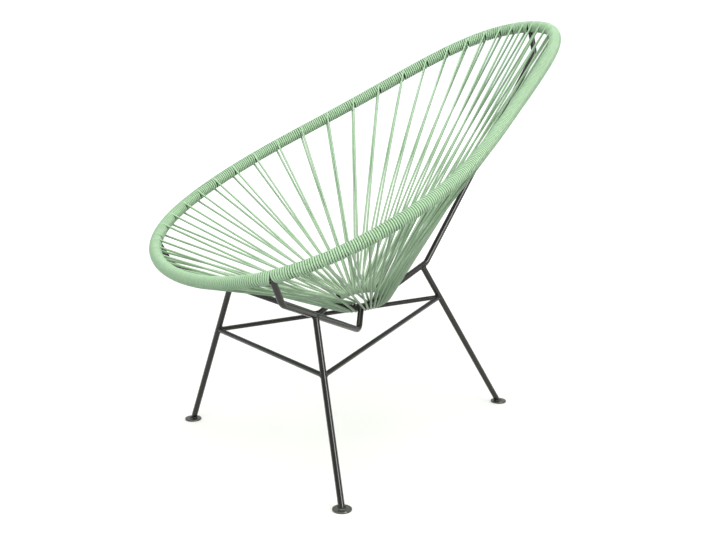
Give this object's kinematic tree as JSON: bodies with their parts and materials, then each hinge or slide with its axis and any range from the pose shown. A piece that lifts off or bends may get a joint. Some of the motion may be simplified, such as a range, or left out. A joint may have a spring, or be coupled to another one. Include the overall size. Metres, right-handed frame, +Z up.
{
  "type": "lounge chair",
  "caption": "Low egg-shaped lounge chair with taut plastic cords strung from a wound steel rim to a small bottom ring, on splayed rod legs with disc feet.",
  "frame": {"origin": "on the floor, midway between the chair's left and right sides and between its frontmost and rearmost points", "axes": "+Z up, the sitter faces -Y, +X to the right of a viewer who stands in front of the chair"},
  "size_m": [0.6976, 0.8752, 0.8497],
  "materials": {
    "cord": "semi-gloss extruded PVC cord, mint green",
    "frame": "satin powder coat, near black",
    "foot": "satin powder coat, near black"
  },
  "bodies": {
    "root": {"arm_front_right": "frame", "arm_front_left": "frame", "arm_rear": "frame", "leg_front_right": "frame", "leg_front_left": "frame", "leg_rear": "frame", "foot_front_right": "foot", "foot_front_left": "foot", "foot_rear": "foot", "rim_tube": "frame", "bottom_ring": "frame", "stretcher_front": "frame", "stretcher_right": "frame", "stretcher_left": "frame", "seat_cord_01": "cord", "seat_cord_02": "cord", "seat_cord_03": "cord", "seat_cord_04": "cord", "seat_cord_05": "cord", "seat_cord_06": "cord", "seat_cord_07": "cord", "seat_cord_08": "cord", "seat_cord_09": "cord", "seat_cord_10": "cord", "seat_cord_11": "cord", "seat_cord_12": "cord", "seat_cord_13": "cord", "seat_cord_14": "cord", "seat_cord_15": "cord", "seat_cord_16": "cord", "seat_cord_17": "cord", "seat_cord_18": "cord", "seat_cord_19": "cord", "seat_cord_20": "cord", "seat_cord_21": "cord", "seat_cord_22": "cord", "seat_cord_23": "cord", "seat_cord_24": "cord", "seat_cord_25": "cord"}
  },
  "joints": []
}
